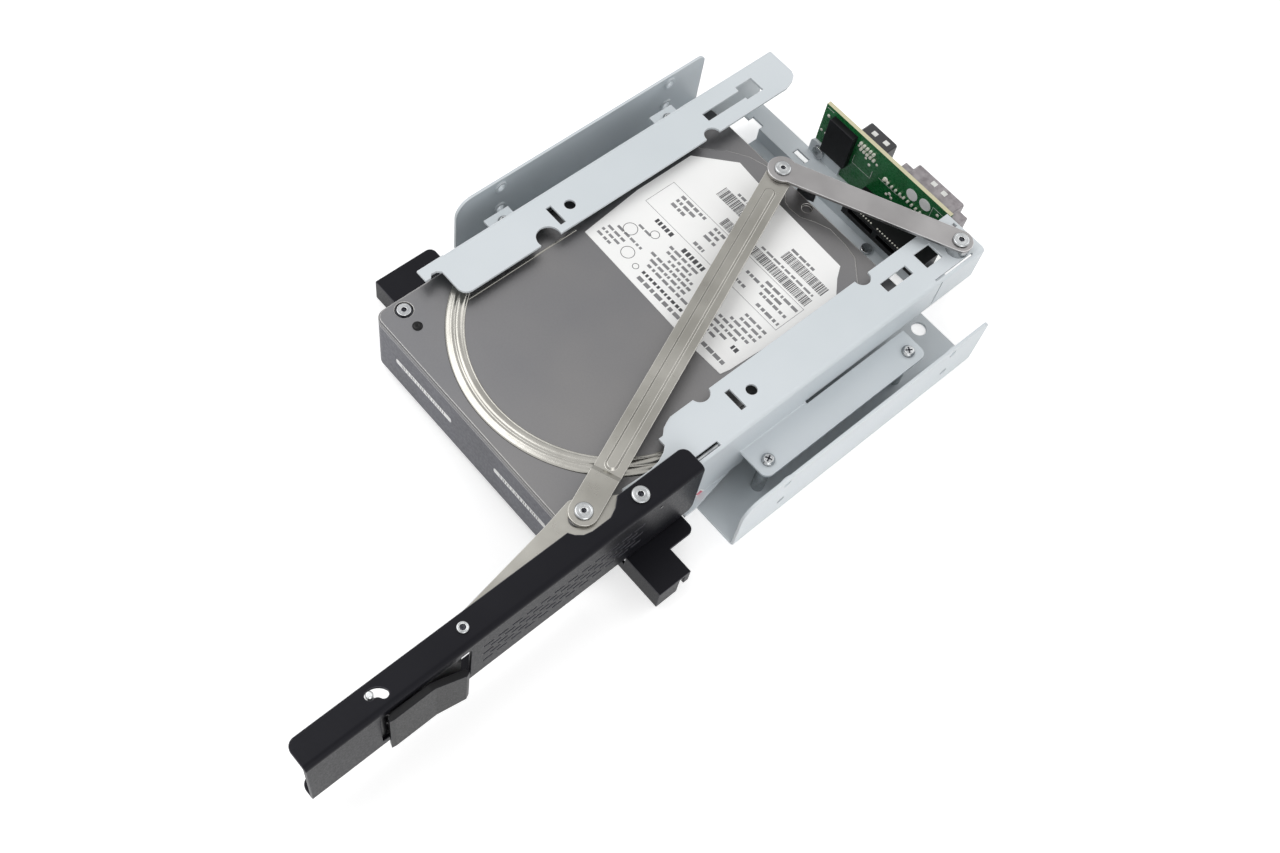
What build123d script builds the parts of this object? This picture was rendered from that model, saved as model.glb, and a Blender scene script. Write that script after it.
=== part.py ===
from build123d import *
import os
from math import atan2, cos, degrees, hypot, radians, sin

# Hard drive mobile rack for a 5.25 inch bay, shown with its door open and the drive ejected.
# All sizes are in mm. While it is built, X runs left to right seen from the front, Y runs from the
# front plane to the rear and Z is up from the underside of the tray. On export everything moves so
# that the origin is at the middle of the tray's underside.

# Standard sizes
bay_width = 146.05
bay_hole_spacing = 79.25
bay_hole_radius = 1.6
bay_hole_low = 10.0
bay_hole_high = 21.84
drive_width = 101.6
drive_length = 147.0
drive_height = 26.1
contact_pitch = 1.27

# Sheet metal
sheet = 1.0
door_sheet = 1.2
arm_sheet = 1.2
bend = 0.6

# Fits
fixed_gap = 0.02
running_gap = 0.05
sliding_gap = 0.3
rivet_float = 0.2

# Tray
tray_front = 32.93
tray_length = 116.14
wall_height = 25.65
wall_front_round = 7.0
wall_rear_round = 3.0
bay_hole_front = 52.3
tongue_length = 13.0
nose_half_width = 52.0
nose_front = 0.6
slide_x = 36.0
slide_width = 9.0
slide_top = 4.45

# Rails
rail_top = 35.95
rail_side_gap = 3.5
rail_rear = 162.0
rail_width_left = 16.7
rail_width_right = 18.2
web_bottom = 20.0
foot_top = 19.5
foot_front = 49.2
foot_rear = 126.0
foot_edge = 4.7
foot_hole_shift = 1.3375

# Pivots, seen from above
hinge_inset = 2.4
hinge_y = 5.0
arm_pivot_inset = 6.4
arm_pivot_y = -12.0
lever_tip_x = -10.4
lever_tip_y = 125.3
lever_pivot_inset = 6.2
lever_pivot_y = 154.0
pivot_radius = 2.1
small_pivot_radius = 1.8
rivet_head_radius = 2.9
rivet_bore_radius = 1.0
arm_bottom = 38.0
link_width = 9.5
link_joggle = 13.5
lever_width = 8.8
lever_end_radius = 5.3

# Door
door_overhang = 5.5
door_front = -119.7
door_length = 146.4
door_top = 40.4
door_bottom = 10.0
door_top_depth = 9.7
door_bottom_depth = 6.4
window_front = -95.2
window_rear = -63.2
window_bottom = 14.8
window_top = 36.2
vent_pitch = 5.3
vent_count = 12
vent_rows = 5
vent_row_pitch = 2.95
vent_length = 3.9
vent_width = 1.0

# Latch
latch_pivot_inset = 3.1
latch_pivot_y = -93.7
latch_pin_reach = 3.14
latch_pivot_radius = 1.2
latch_pin_radius = 1.15

# Drive at rest, ejected
drive_x = -1.2
drive_rear = 130.65
drive_bottom = 4.65
drive_corner = 3.8
plug_x = 20.7
plug_z = 11.0
plug_width = 37.3

# Backplane
board_face = 163.5
board_thickness = 1.6
board_left = -24.6
board_right = 37.0
board_top = 34.3
bracket_top = 8.0
crossbar_front = 154.0

tray_rear = tray_front + tray_length
tray_middle = tray_front + tray_length / 2
half_bay = bay_width / 2
rail_web_x = drive_width / 2 + rail_side_gap
rail_under = rail_top - sheet
rail_inner_left = rail_web_x - rail_width_left
rail_inner_right = rail_web_x - rail_width_right
foot_bottom = foot_top - sheet
foot_hole_x = (rail_web_x + half_bay) / 2 - foot_hole_shift
foot_outer = foot_hole_x + foot_edge
hinge_x = rail_web_x - hinge_inset
arm_pivot_x = hinge_x - arm_pivot_inset
lever_pivot_x = rail_web_x - lever_pivot_inset
door_face_x = hinge_x + door_overhang
latch_pivot_x = door_face_x - latch_pivot_inset
drive_top = drive_bottom + drive_height
drive_front = drive_rear - drive_length
door_rear = door_front + door_length
arm_top = arm_bottom + arm_sheet
link_bottom = arm_bottom
link_top = link_bottom + arm_sheet
lever_bottom = link_top + rivet_float
lever_top = lever_bottom + arm_sheet
board_back = board_face + board_thickness
pieces = {}


def block(x0, x1, y0, y1, z0, z1):
    """A box between two corners."""
    size = Box(x1 - x0, y1 - y0, z1 - z0)
    return Pos((x0 + x1) / 2, (y0 + y1) / 2, (z0 + z1) / 2) * size


def plate(outline, z0, z1):
    """A flat plate with a polygonal outline seen from above."""
    face = make_face(Polyline(*outline, close=True))
    return Pos(0, 0, z0) * extrude(face, z1 - z0)


def disc(x, y, z0, z1, radius):
    """An upright cylinder."""
    return Pos(x, y, (z0 + z1) / 2) * Cylinder(radius, z1 - z0)


def rod_y(x, z, y0, y1, radius):
    """A cylinder along Y."""
    return Pos(x, (y0 + y1) / 2, z) * Rot(90, 0, 0) * Cylinder(radius, y1 - y0)


def rod_x(y, z, x0, x1, radius):
    """A cylinder along X."""
    return Pos((x0 + x1) / 2, y, z) * Rot(0, 90, 0) * Cylinder(radius, x1 - x0)


def bar(x0, y0, x1, y1, width, z0, z1):
    """A flat bar with round ends centred on two points."""
    length = hypot(x1 - x0, y1 - y0)
    angle = degrees(atan2(y1 - y0, x1 - x0))
    shape = extrude(SlotCenterToCenter(length, width), z1 - z0)
    return Pos((x0 + x1) / 2, (y0 + y1) / 2, z0) * Rot(0, 0, angle) * shape


def sheet_sides(points, thickness, radius):
    """The two edges of a folded sheet that lies to the right of a path, with bend radii."""
    last = len(points) - 1
    ways = []
    for (ax, ay), (bx, by) in zip(points, points[1:]):
        length = hypot(bx - ax, by - ay)
        ways.append(((bx - ax) / length, (by - ay) / length))
    right = []
    near_radii = []
    far_radii = []
    for i, (px, py) in enumerate(points):
        before = ways[max(i - 1, 0)]
        after = ways[min(i, last - 1)]
        scale = thickness / (1 + before[0] * after[0] + before[1] * after[1])
        right.append((px + scale * (before[1] + after[1]), py - scale * (before[0] + after[0])))
        if 0 < i < last:
            turns_right = before[0] * after[1] - before[1] * after[0] < 0
            near_radii.append(radius + thickness if turns_right else radius)
            far_radii.append(radius if turns_right else radius + thickness)
    return right, near_radii, far_radii


def folded(points, thickness, radius, y0, y1):
    """A folded sheet of constant section: points are x and z along one side of the sheet."""
    right, near_radii, far_radii = sheet_sides(points, thickness, radius)
    near = FilletPolyline(*points, radius=near_radii)
    far = FilletPolyline(*right, radius=far_radii)
    ends = Curve() + Line(points[0], right[0]) + Line(points[-1], right[-1])
    face = make_face(near.edges() + far.edges() + ends.edges())
    return Pos(0, y1, 0) * Rot(90, 0, 0) * extrude(face, y1 - y0)


def shifted(x, y, points):
    """Points given from a centre, moved to where that centre is."""
    return [(x + dx, y + dy) for dx, dy in points]


def rounded_along(solid, axis, places, radius):
    """Round the edges that run along an axis nearest to the given points."""
    edges = solid.edges().filter_by(axis)
    chosen = [min(edges, key=lambda edge: (edge.center() - Vector(*place)).length) for place in places]
    return fillet(chosen, radius)


# Tray with its two side walls
tray = folded(
    [(half_bay, wall_height), (half_bay, 0), (-half_bay, 0), (-half_bay, wall_height)],
    sheet, bend, tray_front, tray_rear)
for side in (-1, 1):
    wall_x = side * (half_bay - sheet / 2)
    tray = rounded_along(tray, Axis.X, [(wall_x, tray_front, wall_height)], wall_front_round)
    tray = rounded_along(tray, Axis.X, [(wall_x, tray_rear, wall_height)], wall_rear_round)
tray += block(-nose_half_width, nose_half_width, nose_front, tray_front, 0, sheet)
right_tongue_left = 7.1
right_tongue_right = 30.0
left_tongue_left = -44.0
left_tongue_right = -15.0
tongue_rear = tray_rear + tongue_length
tray += block(right_tongue_left, right_tongue_right, tray_rear, tongue_rear, 0, sheet)
tray += block(left_tongue_left, left_tongue_right, tray_rear, tongue_rear, 0, sheet)
tray = rounded_along(tray, Axis.Z, [(right_tongue_left, tongue_rear, sheet / 2)], 4.0)
slide_front = tray_front + 12
slide_rear = tray_rear - 9
for side in (-1, 1):
    x0 = side * slide_x - slide_width / 2
    x1 = side * slide_x + slide_width / 2
    slide = block(x0, x1, slide_front, slide_rear, sheet / 2, slide_top)
    slide = chamfer(slide.faces().sort_by(Axis.Z)[-1].edges(), 1.5)
    groove = block(x0 + sheet, x1 - sheet, slide_front + 1.5, slide_rear - 1.5, -sheet, slide_top - sheet)
    tray = tray + slide - groove
collar_height = 0.6
for y in (bay_hole_front, bay_hole_front + bay_hole_spacing):
    for z in (bay_hole_low, bay_hole_high):
        tray += rod_x(y, z, half_bay - sheet - collar_height, half_bay - sheet / 2, bay_hole_radius + 0.8)
        tray += rod_x(y, z, -half_bay + sheet / 2, -half_bay + sheet + collar_height, bay_hole_radius + 0.8)
        tray -= rod_x(y, z, -half_bay - sheet, half_bay + sheet, bay_hole_radius)
tray_hole_radius = 2.8
tray -= disc(53.5, tray_rear - 5.5, -sheet, 2 * sheet, tray_hole_radius)

# Standoffs that carry the rails above the tray, with their screws
left_foot_x = -foot_hole_x + 1.5
foot_points = [(foot_hole_x, 54.2), (foot_hole_x, 121.0), (left_foot_x, 45.0), (left_foot_x, 121.5)]
standoff_radius = 2.3
foot_screw_radius = 1.25
foot_screw_head = 2.3
standoffs = []
foot_screws = []
for x, y in foot_points:
    post = disc(x, y, sheet, foot_bottom, standoff_radius)
    standoffs.append(post - disc(x, y, foot_bottom - 8, foot_bottom + 1, foot_screw_radius + fixed_gap))
    head = disc(x, y, foot_top, foot_top + 1.5, foot_screw_head)
    head = chamfer(head.edges().sort_by(Axis.Z)[-1], 0.7)
    foot_screws.append(head + disc(x, y, foot_bottom - 6, foot_top, foot_screw_radius))
pieces["chassis_tray"] = tray
pieces["foot_standoffs"] = Compound(children=standoffs)
pieces["foot_screws"] = Compound(children=foot_screws)

# Right rail: top flange, web, foot shelf and the nose that carries the door hinge
nose_radius = 3.9
web_front_right = 24.0
rail_right = folded(
    [(rail_inner_right, rail_top), (rail_web_x, rail_top), (rail_web_x, web_bottom)],
    sheet, bend, web_front_right, rail_rear)
rail_right += folded(
    [(rail_web_x - 8, rail_top), (rail_web_x, rail_top), (rail_web_x, foot_top), (foot_outer, foot_top)],
    sheet, bend, foot_front, foot_front + 30)
rail_right += block(rail_web_x + 0.9, foot_outer, foot_front + 28, foot_rear, foot_bottom, foot_top)
foot_middle = (foot_bottom + foot_top) / 2
foot_corners = [(foot_outer, foot_front, foot_middle), (foot_outer, foot_rear, foot_middle)]
rail_right = rounded_along(rail_right, Axis.Z, foot_corners, 3.0)
corner_cut = shifted(rail_inner_right, web_front_right, [
    (-6.1, -4.0), (3.6, -4.0), (3.6, 1.7), (1.7, 3.8), (0.7, 6.0), (0, 8.0), (-6.1, 8.0)])
rail_right -= plate(corner_cut, rail_under - 1, rail_top + 1)
nose_outline = shifted(hinge_x, hinge_y, [
    (-6.3, -1.3), (-1.7, -3.5), (nose_radius, 0), (2.0, 4.5), (2.0, 19.5), (0.3, 22.0),
    (-12.8, 22.0), (-11.4, 20.6), (-9.4, 19.1), (-7.8, 17.0), (-6.4, 13.8), (-5.8, 9.7), (-5.9, 5.7)])
rail_right += plate(nose_outline, rail_under, rail_top)
rail_right += disc(hinge_x, hinge_y, rail_under, rail_top, nose_radius)
rail_right += block(rail_web_x - sheet, rail_web_x, web_front_right, 53.0, 7.6, web_bottom + 1)
rail_right += block(rail_web_x - sheet, rail_web_x, 24.5, 31.5, sheet + 0.2, 9.0)
lip_outline = shifted(rail_web_x, web_front_right, [
    (-sheet, 0.5), (3.1, 0.5), (3.1, 5.0), (0, 23.0), (-sheet, 23.0)])
rail_right += plate(lip_outline, 7.0, 7.0 + sheet)
rod_slot_left = rail_web_x - 2.9
rod_slot_right = rail_web_x - sheet
rail_right -= block(rod_slot_left, rod_slot_right, 27.0, 38.0, rail_under - 1, rail_top + 1)
relief_front = rail_rear - 22.0
rail_right -= block(rail_web_x - 2, rail_web_x + 2, relief_front, relief_front + 0.9,
                    web_bottom + 1.3, rail_under)
rail_right -= block(rail_web_x - 2.0, rail_web_x - 1.2, relief_front - 1.7, rail_rear - 5.1,
                    rail_under - 1, rail_top + 1)
rail_right -= block(rail_web_x - 14.2, rail_web_x - 12.6, rail_rear - 2.1, rail_rear - 0.8,
                    rail_under - 1, rail_top + 1)

# Left rail: top flange, web, two foot tabs and the nose that the latch pin meets
web_front_left = 12.0
rail_left = folded(
    [(-rail_web_x, web_bottom), (-rail_web_x, rail_top), (-rail_inner_left, rail_top)],
    sheet, bend, web_front_left, rail_rear)
for tab_front, tab_rear in ((39.7, 50.3), (116.2, 126.8)):
    rail_left += folded(
        [(1.5 - foot_outer, foot_top), (-rail_web_x, foot_top), (-rail_web_x, rail_top),
         (-rail_web_x + 8, rail_top)],
        sheet, bend, tab_front, tab_rear)
left_nose = shifted(-rail_web_x, web_front_left, [
    (0.4, 1.0), (0.4, -9.5), (5.1, -9.5), (5.1, -7.4), (3.9, -6.4), (4.1, -4.6), (5.3, -3.1),
    (13.8, -3.1), (15.4, -2.4), (16.4, -1.1), (rail_width_left, 0.4), (rail_width_left, 1.0)])
rail_left += plate(left_nose, rail_under, rail_top)
rail_left += block(-rail_web_x, -rail_web_x + sheet, 6.8, web_front_left + 0.5, 29.0, rail_under + 0.3)
web_floor = bracket_top - sheet
rail_left += block(-rail_web_x, -rail_web_x + sheet, 138.0, rail_rear, web_floor, web_bottom + 1)
rear_cut = shifted(-rail_inner_left, rail_rear, [
    (-4.7, 1.0), (-4.7, 0), (-2.6, -1.0), (-1.2, -3.0), (0.6, -8.9), (7.6, -8.9), (7.6, 1.0)])
rail_left -= plate(rear_cut, rail_under - 1, rail_top + 1)

# Cut-outs that both rails share
rear_notch_radius = 3.2
dimple_radius = 2.0
notch_y = 45.2
rear_notch_y = 118.8
window_y = 139.7


def rail_openings(side, inner_edge, notch_inset, notch_radius, dimple_inset,
                  slot_insets, slot_rear, window_insets):
    """Notches, dimple hole, slots and window of one rail, measured outwards from its inner edge."""
    low = rail_under - 1
    high = rail_top + 1
    holes = disc(side * (inner_edge + notch_inset), notch_y, low, high, notch_radius)
    holes += disc(side * (inner_edge + 0.2), rear_notch_y, low, high, rear_notch_radius)
    holes += disc(side * (inner_edge + dimple_inset), notch_y + 14.1, low, high, dimple_radius)
    cross_slot = (dimple_inset - 4.6, dimple_inset + 3.5)
    for insets, front, rear in (
            (cross_slot, notch_y + 6.3, notch_y + 8.6),
            (slot_insets, rear_notch_y + 3.0, slot_rear),
            (window_insets, window_y, window_y + 7.8)):
        x0, x1 = sorted(side * (inner_edge + inset) for inset in insets)
        holes += block(x0, x1, front, rear, low, high)
    return holes


rail_left -= rail_openings(-1, rail_inner_left, 1.1, 4.4, 7.2, (5.6, 9.3), window_y + 1, (4.6, 11.2))
rail_right -= rail_openings(1, rail_inner_right, -0.8, 3.6, 8.7, (5.8, 9.8), 134.3, (4.6, 11.3))
for x, y in foot_points:
    hole = disc(x, y, foot_bottom - 1, foot_top + 1, foot_screw_radius + fixed_gap)
    if x < 0:
        rail_left -= hole
    else:
        rail_right -= hole
rail_right -= disc(hinge_x, hinge_y, rail_under - 1, rail_top + 1, pivot_radius + fixed_gap)
rail_right -= disc(lever_pivot_x, lever_pivot_y, rail_under - 1, rail_top + 1, pivot_radius + fixed_gap)
pieces["rail_left"] = rail_left
pieces["rail_right"] = rail_right

# Bright rod under the right rail's front slot
detent_radius = 0.8
detent_rod = rod_y(rail_web_x - 1.9, rail_under - detent_radius, 27.6, 44.0, detent_radius)
pieces["detent_rod"] = detent_rod

# Black front bezel folded from one sheet
bezel_top = 9.6
bezel_face = -0.7
bezel_sheet = 1.0
strip_top = 4.3
bezel = block(-nose_half_width, nose_half_width, bezel_face, bezel_face + bezel_sheet, 0, strip_top)
bezel += block(-nose_half_width + 2, nose_half_width - 2, bezel_face, 22.0, sheet, sheet + bezel_sheet)
right_ear_x = 56.8
left_ear_x = -53.5
ear_rear = 23.1
ear_step_x = half_bay - 9.8
ear_corner = 2.5
bezel_back = bezel_face + bezel_sheet
right_top = block(right_ear_x, half_bay, bezel_face, ear_rear, bezel_top - bezel_sheet, bezel_top)
right_top -= block(ear_step_x, half_bay + 1, 12.5, ear_rear + 1, 0, bezel_top + 1)
left_top = block(-half_bay, left_ear_x, bezel_face, ear_rear, bezel_top - bezel_sheet, bezel_top)
bezel += rounded_along(right_top, Axis.Z, [(ear_step_x, ear_rear, bezel_top)], ear_corner)
bezel += rounded_along(left_top, Axis.Z, [(-half_bay, ear_rear, bezel_top)], ear_corner)
bezel += block(nose_half_width - 2, half_bay, bezel_face, bezel_back, 0, strip_top)
bezel += block(right_ear_x, half_bay, bezel_face, bezel_back, 0, bezel_top)
bezel += block(-half_bay, 2 - nose_half_width, bezel_face, bezel_back, 0, strip_top)
bezel += block(-half_bay, left_ear_x, bezel_face, bezel_back, 0, bezel_top)
bezel += block(half_bay - bezel_sheet, half_bay, bezel_face, 8.0, 0, bezel_top)
bezel += block(half_bay - bezel_sheet, half_bay, 10.5, 12.5, 3.0, bezel_top)
bezel += block(right_ear_x, right_ear_x + bezel_sheet, bezel_face, ear_rear, 0, bezel_top)
bezel += block(-half_bay, -half_bay + bezel_sheet, bezel_face, ear_rear - ear_corner, 0, bezel_top)
bezel += block(-half_bay + ear_corner, left_ear_x, ear_rear - bezel_sheet, ear_rear, 0, bezel_top)
rivet_spots = [(-36.0, 12.0), (0.0, 12.0), (36.0, 12.0)]
bezel_rivet_radius = 1.5
bezel_rivets = []
for x, y in rivet_spots:
    hole = disc(x, y, -1, 4, bezel_rivet_radius + fixed_gap)
    bezel -= hole
    pieces["chassis_tray"] -= hole
    head = disc(x, y, sheet + bezel_sheet, sheet + bezel_sheet + 0.8, 2.6)
    bezel_rivets.append(head + disc(x, y, 0.0, sheet + bezel_sheet, bezel_rivet_radius))
pieces["front_bezel"] = bezel
pieces["bezel_rivets"] = Compound(children=bezel_rivets)

# Rear crossbar that carries the backplane
bracket_left = -43.5
bracket_right = 46.0
foot_strip_front = crossbar_front - 4.0
corner_hole_left = -49.1
corner_hole_rear = crossbar_front + 2.3
ear_left = -25.6
ear_right = -10.2
ear_top = 15.0
bracket = block(bracket_left, right_tongue_right, foot_strip_front, crossbar_front + sheet, sheet, 2 * sheet)
bracket += block(bracket_left, bracket_right, crossbar_front, crossbar_front + sheet, sheet, bracket_top)
flange_outline = [
    (bracket_left, crossbar_front), (bracket_right, crossbar_front), (bracket_right, board_face),
    (sliding_gap + sheet - rail_web_x, board_face), (sliding_gap + sheet - rail_web_x, crossbar_front),
    (corner_hole_left, crossbar_front), (corner_hole_left, corner_hole_rear),
    (bracket_left, corner_hole_rear)]
bracket += plate(flange_outline, bracket_top - sheet, bracket_top)
bracket += block(ear_left, ear_right, board_face - sheet, board_face, bracket_top - sheet, ear_top)
bracket = rounded_along(bracket, Axis.Y, [(ear_left, board_face - sheet / 2, ear_top)], 2.0)
cable_hole_front = board_face - 7.0
cable_hole_rear = board_face - 4.0
for x0, x1 in ((-28.0, -21.5), (-9.0, -4.5)):
    bracket -= block(x0, x1, cable_hole_front, cable_hole_rear, bracket_top - 2 * sheet, bracket_top + 1)
bracket_screw_radius = 1.5
bracket_screw_y = crossbar_front - 2.2
bracket_screws = []
for x in (-30.0, 18.0):
    hole = disc(x, bracket_screw_y, -1, 2 * sheet + 1, bracket_screw_radius + fixed_gap)
    bracket -= hole
    pieces["chassis_tray"] -= hole
    head = disc(x, bracket_screw_y, 2 * sheet, 2 * sheet + 1.2, 2.2)
    bracket_screws.append(head + disc(x, bracket_screw_y, 0.0, 2 * sheet, bracket_screw_radius))
ear_screw_x = ear_left + 5.0
ear_screw_z = ear_top - 3.2
ear_front = board_face - sheet
ear_hole = rod_y(ear_screw_x, ear_screw_z, ear_front - 2, board_back + 1, bracket_screw_radius + fixed_gap)
bracket -= ear_hole
ear_screw = rod_y(ear_screw_x, ear_screw_z, ear_front, board_back + 1.5, bracket_screw_radius)
ear_screw += rod_y(ear_screw_x, ear_screw_z, ear_front - 1.3, ear_front, 2.6)
bracket_screws.append(ear_screw)
pieces["backplane_bracket"] = bracket
pieces["bracket_screws"] = Compound(children=bracket_screws)

# Backplane board with its parts
board_bottom = 2.0
board = block(board_left, board_right, board_face, board_back, board_bottom, board_top)
board -= ear_hole
dot_thickness = 0.12
inspection_dots = []
for x, z in ((20.3, board_top - 5.8), (26.4, board_top - 5.0)):
    inspection_dots.append(rod_y(x, z, board_face - dot_thickness, board_face, 2.5))
relay = block(-20.0, -8.0, board_face - 2.6, board_face, board_top - 19.1, board_top - 2.3)
relay = chamfer(relay.edges().filter_by(Axis.Y), 0.4)
solder_pins = []
pin_rows = ((11, 8.0, -9.7, 2.0, 0.9), (5, -5.0, -5.7, 1.6, 1.1), (5, -5.8, -3.3, 1.6, 1.1))
for count, row_start, below_top, pitch, width in pin_rows:
    for i in range(count):
        x = row_start + i * pitch
        z = board_top + below_top
        pin = block(x - width / 2, x + width / 2, board_face - 0.9, board_face, z - width / 2, z + width / 2)
        solder_pins.append(chamfer(pin.edges().filter_by(Axis.Y), 0.25))
pieces["backplane_board"] = board
pieces["inspection_dots"] = Compound(children=inspection_dots)
pieces["relay"] = relay
pieces["solder_pins"] = Compound(children=solder_pins)

# Drive receptacle on the board's front
receptacle_front = board_face - 11.1
receptacle_bottom = bracket_top
receptacle_top = receptacle_bottom + 6.0
slot_depth = 2.4
tongue_height = 1.3
contact_width = 0.6
contact_height = 0.5
plug_left = plug_x - plug_width / 2
plug_right = plug_x + plug_width / 2
receptacle = block(plug_left, plug_right, receptacle_front, board_face, receptacle_bottom, receptacle_top)
data_left = plug_x - 16.0
data_right = plug_x - 3.6
power_left = plug_x - 1.4
power_right = plug_x + 16.2
tongue_low = plug_z - tongue_height / 2
tongue_high = plug_z + tongue_height / 2
contact_bottom = tongue_high + 0.4
contact_top = contact_bottom + contact_height
for x0, x1 in ((data_left, data_right), (power_left, power_right)):
    receptacle -= block(x0, x1, receptacle_front - 1, receptacle_front + slot_depth,
                        tongue_low - sliding_gap, contact_top)
receptacle_contacts = []
contact_count = 22
contact_start = plug_x - (contact_count - 1) * contact_pitch / 2 + 0.2
for i in range(contact_count):
    x = contact_start + i * contact_pitch
    in_data = data_left + 0.5 < x < data_right - 0.5
    in_power = power_left + 0.5 < x < power_right - 0.5
    if in_data or in_power:
        receptacle_contacts.append(block(
            x - contact_width / 2, x + contact_width / 2, receptacle_front + 0.4,
            receptacle_front + slot_depth, contact_bottom, contact_top))
pieces["drive_receptacle"] = receptacle
pieces["receptacle_contacts"] = Compound(children=receptacle_contacts)

# Connectors on the board's back
data_socket_left = -11.0
data_socket_width = 13.2
data_socket_height = 8.9
data_socket_depth = 9.4
data_socket_bottom = board_top - 13.8
socket_wall = 1.4
data_socket_right = data_socket_left + data_socket_width
data_socket_top = data_socket_bottom + data_socket_height
data_socket_rear = board_back + data_socket_depth
socket_floor = board_back + 2.9
data_socket = block(data_socket_left, data_socket_right, board_back, data_socket_rear,
                    data_socket_bottom, data_socket_top)
data_socket = chamfer(data_socket.edges().filter_by(Axis.Y), 0.6)
data_socket -= block(data_socket_left + socket_wall, data_socket_right - socket_wall, socket_floor,
                     data_socket_rear + 1, data_socket_bottom + socket_wall, data_socket_top - socket_wall)
tongue_z = data_socket_bottom + 4.7
data_socket += block(data_socket_left + 2.8, data_socket_right - 2.8, board_back + 2.4,
                     data_socket_rear - 1.0, tongue_z - 0.6, tongue_z + 0.6)
power_middle = 24.1
power_pitch = 5.08
power_socket_width = 22.2
power_socket_height = 12.3
power_socket_depth = 9.7
power_socket_bottom = board_top - 16.8
power_pin_z = power_socket_bottom + 5.9
power_socket_top = power_socket_bottom + power_socket_height
power_socket_left = power_middle - power_socket_width / 2
power_socket_right = power_middle + power_socket_width / 2
power_socket_rear = board_back + power_socket_depth
power_socket = block(power_socket_left, power_socket_right, board_back, power_socket_rear,
                     power_socket_bottom, power_socket_top)
power_socket = chamfer(power_socket.edges().filter_by(Axis.Y), 0.6)
power_socket += block(power_socket_left - 3.6, power_socket_right + 4.5, board_back, power_socket_rear - 3.0,
                      power_socket_bottom + 0.4, power_socket_top - 0.6)
power_socket -= block(power_socket_left + socket_wall, power_socket_right - socket_wall, socket_floor,
                      power_socket_rear + 1, power_socket_bottom + socket_wall,
                      power_socket_top - socket_wall)
power_pins = []
for i in range(4):
    x = power_middle + (i - 1.5) * power_pitch
    power_pins.append(rod_y(x, power_pin_z, socket_floor, power_socket_rear - 1.2, 1.05))
pieces["data_connector"] = data_socket
pieces["power_connector"] = power_socket
pieces["power_pins"] = Compound(children=power_pins)


# Fixed pivots of the door and of the lever
def pivot_rivet(x, y, shank_radius, z0, z1):
    """A tubular rivet between two heights, with a thin head at each end."""
    body = disc(x, y, z0 - rivet_head_height, z0, rivet_head_radius)
    body += disc(x, y, z0, z1, shank_radius)
    top = disc(x, y, z1, z1 + rivet_head_height, rivet_head_radius)
    body += chamfer(top.edges().sort_by(Axis.Z)[-1], 0.4)
    bore_radius = rivet_bore_radius * shank_radius / pivot_radius
    return body - disc(x, y, z1 - 1.5, z1 + 2, bore_radius)


def spacer_ring(x, y, z1):
    """A spacer that stands on the right rail round a pivot."""
    ring = disc(x, y, rail_top, z1, spacer_radius)
    return ring - disc(x, y, rail_top - 1, z1 + 1, pivot_radius + fixed_gap)


rivet_head_height = 0.8
spacer_radius = 4.2
end_float = 0.1
pieces["hinge_rivet"] = pivot_rivet(hinge_x, hinge_y, pivot_radius, rail_under, door_top + end_float)
pieces["hinge_spacer"] = spacer_ring(hinge_x, hinge_y, arm_bottom - end_float)
pieces["lever_rivet"] = pivot_rivet(
    lever_pivot_x, lever_pivot_y, pivot_radius, rail_under, lever_top + end_float)
pieces["lever_spacer"] = spacer_ring(lever_pivot_x, lever_pivot_y, lever_bottom - end_float)

# Door: a folded black channel, its outer face towards +X while it stands open
door_bottom_rear = hinge_y - 24.0
door = folded(
    [(door_face_x - door_top_depth, door_top), (door_face_x, door_top),
     (door_face_x, door_bottom), (door_face_x - door_bottom_depth, door_bottom)],
    door_sheet, bend, door_front, door_rear)
inner_face_x = door_face_x - door_sheet
door -= block(door_face_x - 12, inner_face_x, door_bottom_rear, door_rear + 1,
              door_bottom - 1, door_bottom + door_sheet + 1)
top_middle = door_top - door_sheet / 2
door = rounded_along(door, Axis.Z, [
    (door_face_x - door_top_depth, door_front, top_middle),
    (door_face_x - door_top_depth, door_rear, top_middle),
    (door_face_x - door_bottom_depth, door_front, door_bottom + door_sheet / 2)], 3.0)
door_corner = 5.0
corner = block(inner_face_x - 2, door_face_x + 1, door_rear - door_corner, door_rear + 1,
               door_bottom - 1, door_bottom + door_corner)
corner -= rod_x(door_rear - door_corner, door_bottom + door_corner,
                inner_face_x - 3, door_face_x + 2, door_corner)
door -= corner
notch_outline = shifted(arm_pivot_x, arm_pivot_y, [
    (-1.5, -8.6), (2.5, -8.0), (4.1, -6.9), (5.7, -4.9), (6.4, -2.0), (6.4, 5.0), (4.9, 8.2),
    (2.4, 11.1), (-1.5, 12.2)])
door -= plate(notch_outline, door_top - 2, door_top + 1)
window_middle_y = (window_front + window_rear) / 2
window_middle_z = (window_bottom + window_top) / 2
window = Pos(door_face_x - 3, window_middle_y, window_middle_z) * Box(
    10, window_rear - window_front, window_top - window_bottom)
window = fillet(window.edges().filter_by(Axis.X), 1.2)
door -= window
vents_front = window_rear + 4.3
vents_top = door_top - 9.0
vent_cutters = []
for row in range(vent_rows):
    staggered = row % 2
    z = vents_top - row * vent_row_pitch
    for i in range(vent_count - staggered):
        y = vents_front + (i + staggered / 2) * vent_pitch
        vent_cutters.append(block(door_face_x - 3, door_face_x + 1, y, y + vent_length, z - vent_width, z))
door -= vent_cutters
light_y = 9.5
light_z = 35.2
light_radius = 0.6
door -= rod_x(light_y, light_z, door_face_x - 3, door_face_x + 1, light_radius + fixed_gap)
slot_width = 2 * (latch_pin_radius + sliding_gap)
slot_angles = [189, 176, 163, 150, 137, 124, 111]
slot_points = []
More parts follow.
